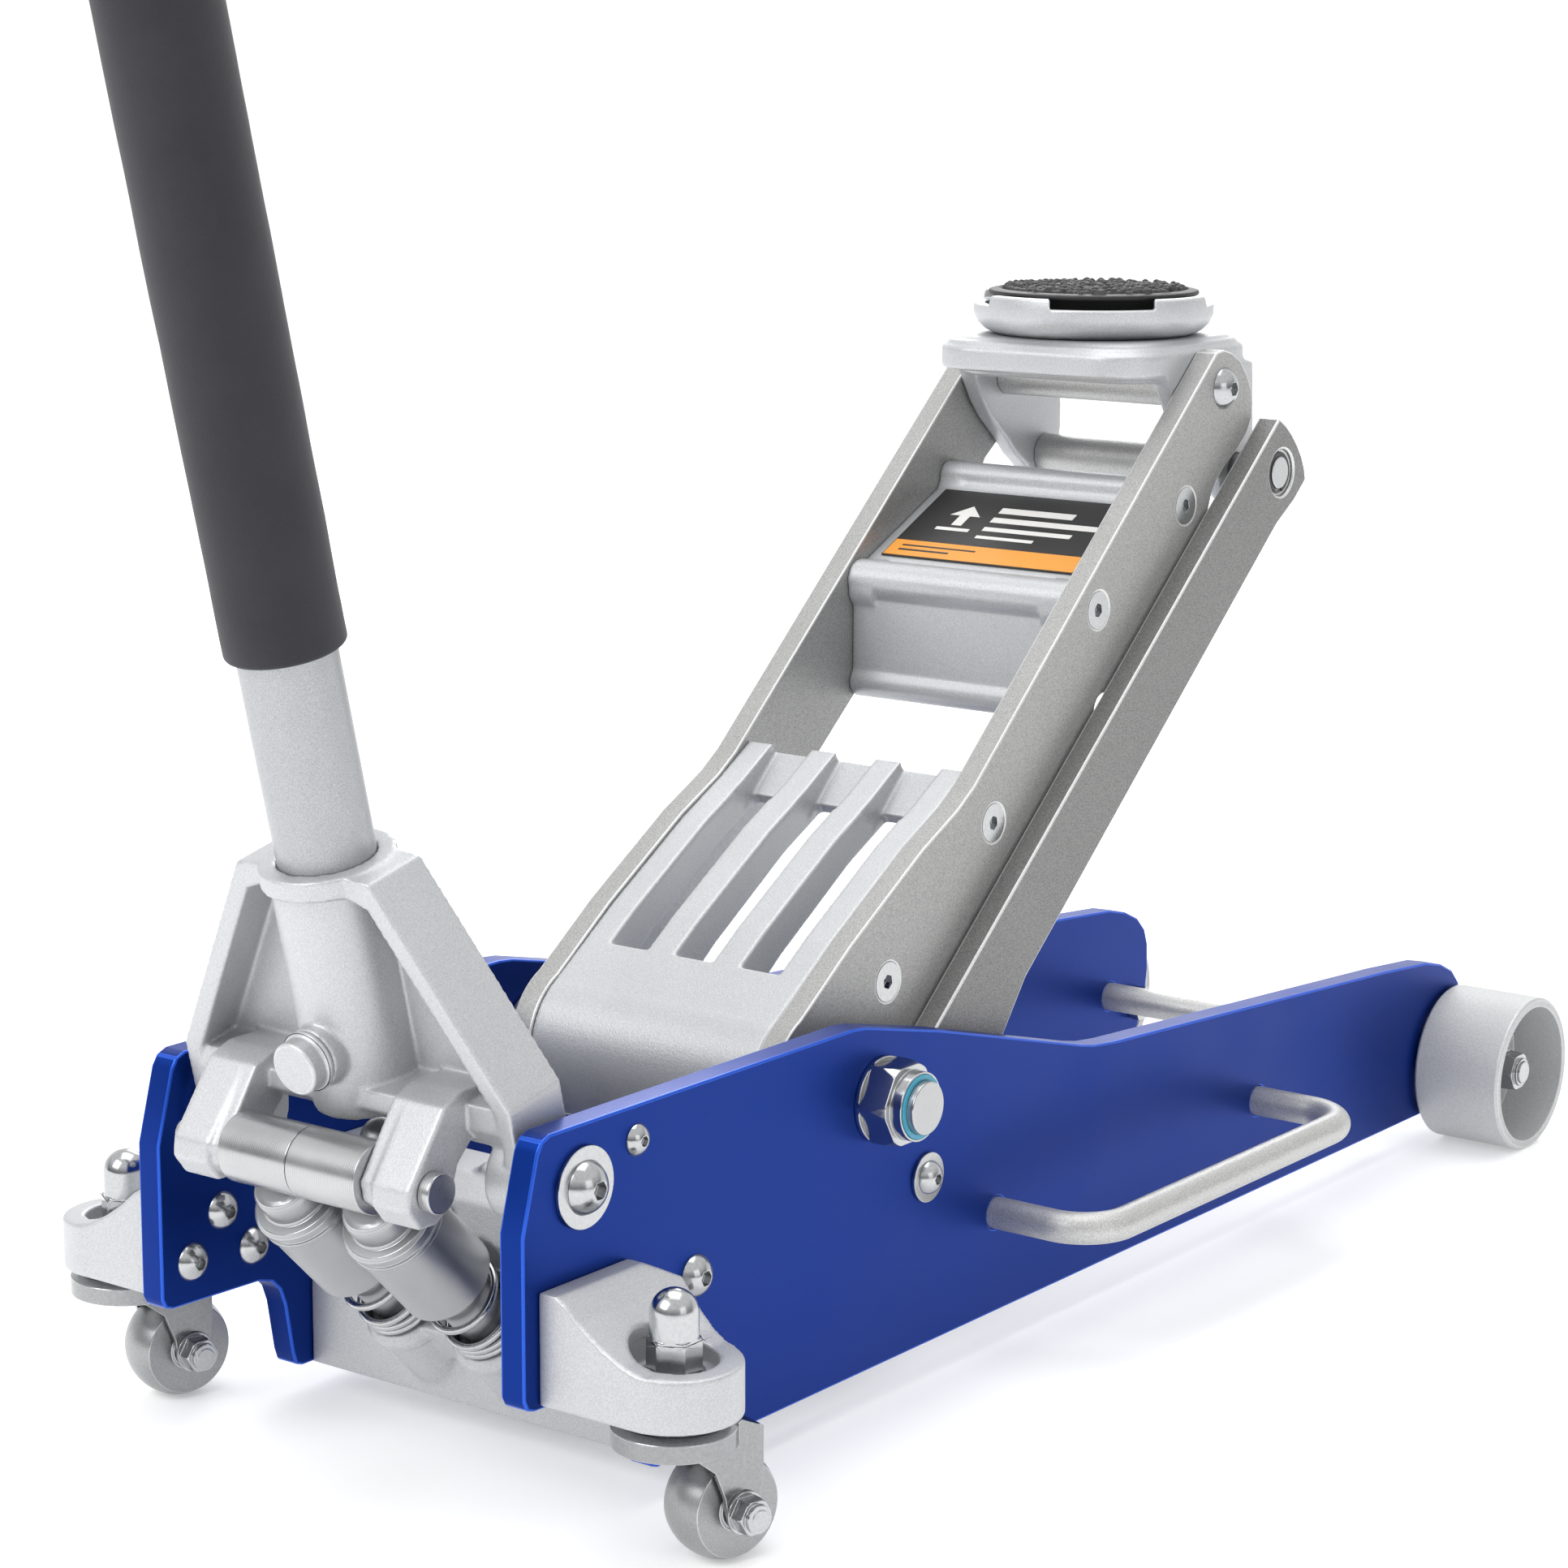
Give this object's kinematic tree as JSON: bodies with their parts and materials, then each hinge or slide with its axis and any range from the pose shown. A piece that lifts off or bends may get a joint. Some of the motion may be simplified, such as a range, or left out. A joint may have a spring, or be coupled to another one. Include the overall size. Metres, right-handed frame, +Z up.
{
  "type": "hydraulic floor jack",
  "caption": "Low-profile hydraulic floor jack with blue side plates, parallelogram lift arm, padded swivel saddle, rear casters and long pump handle, shown raised.",
  "frame": {"origin": "on the floor, under the middle of the overall bounding box", "axes": "+X forward to the front wheels, +Y to the jack's left side, +Z up"},
  "size_m": [1.079, 0.3702, 1.292],
  "materials": {
    "blue_plate": "satin anodised blue, pale bevelled edges",
    "cast_silver": "silver grey sand-textured paint on castings",
    "blasted_aluminium": "bead-blasted, brighter edges",
    "machined_steel": "machined, satin",
    "zinc": "bright zinc plate",
    "tube_silver": "satin silver powder coat",
    "foam": "closed-cell foam, matt",
    "grip": "matt black",
    "pad_rubber": "coarse grained rubber",
    "nylon": "teal nylon",
    "label": "printed film, black with an orange band, no lettering",
    "caster_grey": "turned steel",
    "wheel_grey": "light grey painted cast wheel"
  },
  "bodies": {
    "frame": {"side_plate_right": "blue_plate", "side_plate_left": "blue_plate", "pump_block": "cast_silver", "cylinder_tube": "machined_steel", "cylinder_gland": "machined_steel", "front_tie_rod": "machined_steel", "wheel_axles": "zinc", "wheel_nuts": "zinc", "carry_handle_right": "tube_silver", "carry_handle_left": "tube_silver", "caster_bracket_right": "cast_silver", "caster_bracket_left": "cast_silver", "bracket_screws": "zinc", "caster_stud_nuts": "zinc", "washers": "zinc", "arm_pivot_shaft": "machined_steel", "arm_pivot_nuts": "zinc", "nut_inserts": "nylon", "frame_bolts": "zinc", "link_frame_pin": "zinc", "return_springs": "zinc", "plunger_spring_right": "zinc", "plunger_spring_left": "zinc"},
    "arm": {"arm_plate_right": "blasted_aluminium", "arm_plate_left": "blasted_aluminium", "arm_cover": "cast_silver", "arm_web": "cast_silver", "arm_screws": "zinc", "arm_label": "label", "crosshead_pin": "machined_steel", "top_pivot_bolt": "zinc"},
    "link": {"level_link": "blasted_aluminium"},
    "head": {"saddle_bracket": "cast_silver", "pivot_spacer_tube": "machined_steel", "lower_cross_tube": "machined_steel", "link_pin": "machined_steel", "link_circlip": "zinc"},
    "saddle": {"saddle_cup": "cast_silver", "saddle_pad": "pad_rubber"},
    "ram": {"ram": "machined_steel"},
    "yoke": {"handle_yoke": "cast_silver", "roller_pin": "zinc", "lock_bolt": "zinc"},
    "roller_right": {"roller_right": "machined_steel"},
    "roller_left": {"roller_left": "machined_steel"},
    "handle": {"handle_tube_lower": "tube_silver", "foam_sleeve": "foam", "handle_tube_upper": "tube_silver", "end_grip": "grip"},
    "plunger_right": {"pump_plunger_right": "machined_steel"},
    "plunger_left": {"pump_plunger_left": "machined_steel"},
    "release": {"release_spindle": "machined_steel"},
    "front_wheel_right": {"front_wheel_right": "wheel_grey"},
    "front_wheel_left": {"front_wheel_left": "wheel_grey"},
    "caster_right": {"caster_fork_right": "zinc", "caster_axle_right": "zinc"},
    "caster_left": {"caster_fork_left": "zinc", "caster_axle_left": "zinc"},
    "caster_wheel_right": {"caster_wheel_right": "caster_grey"},
    "caster_wheel_left": {"caster_wheel_left": "caster_grey"}
  },
  "joints": [
    {"name": "lift_hinge", "type": "hinge", "parent": "frame", "child": "arm", "pos_m": [-0.04081, 0.0023, 0.14], "axis": [0, -1, 0], "range_deg": [-49.5, 0]},
    {"name": "link_hinge", "type": "hinge", "parent": "frame", "child": "link", "pos_m": [-0.00481, -0.0812, 0.0955], "axis": [0, -1, 0], "range_deg": [-49.5, 0]},
    {"name": "head_hinge", "type": "hinge", "parent": "arm", "child": "head", "pos_m": [0.29377, 0.0023, 0.42576], "axis": [0, -1, 0], "range_deg": [0, 49.5]},
    {"name": "saddle_turn", "type": "hinge", "parent": "head", "child": "saddle", "pos_m": [0.29059, 0.0023, 0.44976], "axis": [0, 0, 1], "continuous": true},
    {"name": "ram_slide", "type": "slide", "parent": "frame", "child": "ram", "axis": [1, 0, 0], "range_m": [-0.05211, 0], "deforming": ["return_springs"]},
    {"name": "yoke_tilt", "type": "hinge", "parent": "frame", "child": "yoke", "pos_m": [-0.24421, 0.0023, 0.1493], "axis": [0, -1, 0], "range_deg": [0, 45]},
    {"name": "roller_right_turn", "type": "hinge", "parent": "yoke", "child": "roller_right", "pos_m": [-0.28779, -0.0167, 0.15005], "axis": [0, 1, 0], "continuous": true},
    {"name": "roller_left_turn", "type": "hinge", "parent": "yoke", "child": "roller_left", "pos_m": [-0.28779, 0.0213, 0.15005], "axis": [0, 1, 0], "continuous": true},
    {"name": "handle_twist", "type": "hinge", "parent": "yoke", "child": "handle", "pos_m": [-0.25822, 0.0023, 0.20764], "axis": [-0.2334, 0, 0.9724], "range_deg": [0, 120]},
    {"name": "release_turn", "type": "hinge", "parent": "frame", "child": "release", "pos_m": [-0.24421, 0.0023, 0.1493], "axis": [-0.6293, 0, 0.7771], "range_deg": [0, 120]},
    {"name": "plunger_right_slide", "type": "slide", "parent": "frame", "child": "plunger_right", "axis": [0.7071, 0, -0.7071], "range_m": [0, 0.03083], "deforming": ["plunger_spring_right"]},
    {"name": "plunger_left_slide", "type": "slide", "parent": "frame", "child": "plunger_left", "axis": [0.7071, 0, -0.7071], "range_m": [0, 0.03083], "deforming": ["plunger_spring_left"]},
    {"name": "front_wheel_right_turn", "type": "hinge", "parent": "frame", "child": "front_wheel_right", "pos_m": [0.49769, -0.1323, 0.0418], "axis": [0, 1, 0], "continuous": true},
    {"name": "caster_right_swivel", "type": "hinge", "parent": "frame", "child": "caster_right", "pos_m": [-0.24451, -0.1525, 0.058], "axis": [0, 0, 1], "continuous": true},
    {"name": "caster_wheel_right_turn", "type": "hinge", "parent": "caster_right", "child": "caster_wheel_right", "pos_m": [-0.22229, -0.15845, 0.023], "axis": [0.2588, 0.9659, 0], "continuous": true},
    {"name": "front_wheel_left_turn", "type": "hinge", "parent": "frame", "child": "front_wheel_left", "pos_m": [0.49769, 0.1369, 0.0418], "axis": [0, 1, 0], "continuous": true},
    {"name": "caster_left_swivel", "type": "hinge", "parent": "frame", "child": "caster_left", "pos_m": [-0.24451, 0.1571, 0.058], "axis": [0, 0, 1], "continuous": true},
    {"name": "caster_wheel_left_turn", "type": "hinge", "parent": "caster_left", "child": "caster_wheel_left", "pos_m": [-0.22229, 0.15115, 0.023], "axis": [0.2588, 0.9659, 0], "continuous": true}
  ],
  "couplings": [
    {"joint": "link_hinge", "follows": "lift_hinge", "ratio": 1},
    {"joint": "head_hinge", "follows": "lift_hinge", "ratio": -1},
    {"joint": "ram_slide", "follows": "lift_hinge", "m_per_rad": 0.06008},
    {"joint": "plunger_right_slide", "follows": "yoke_tilt", "m_per_rad": 0.039},
    {"joint": "plunger_left_slide", "follows": "yoke_tilt", "m_per_rad": 0.039},
    {"joint": "release_turn", "follows": "handle_twist", "ratio": 1}
  ]
}
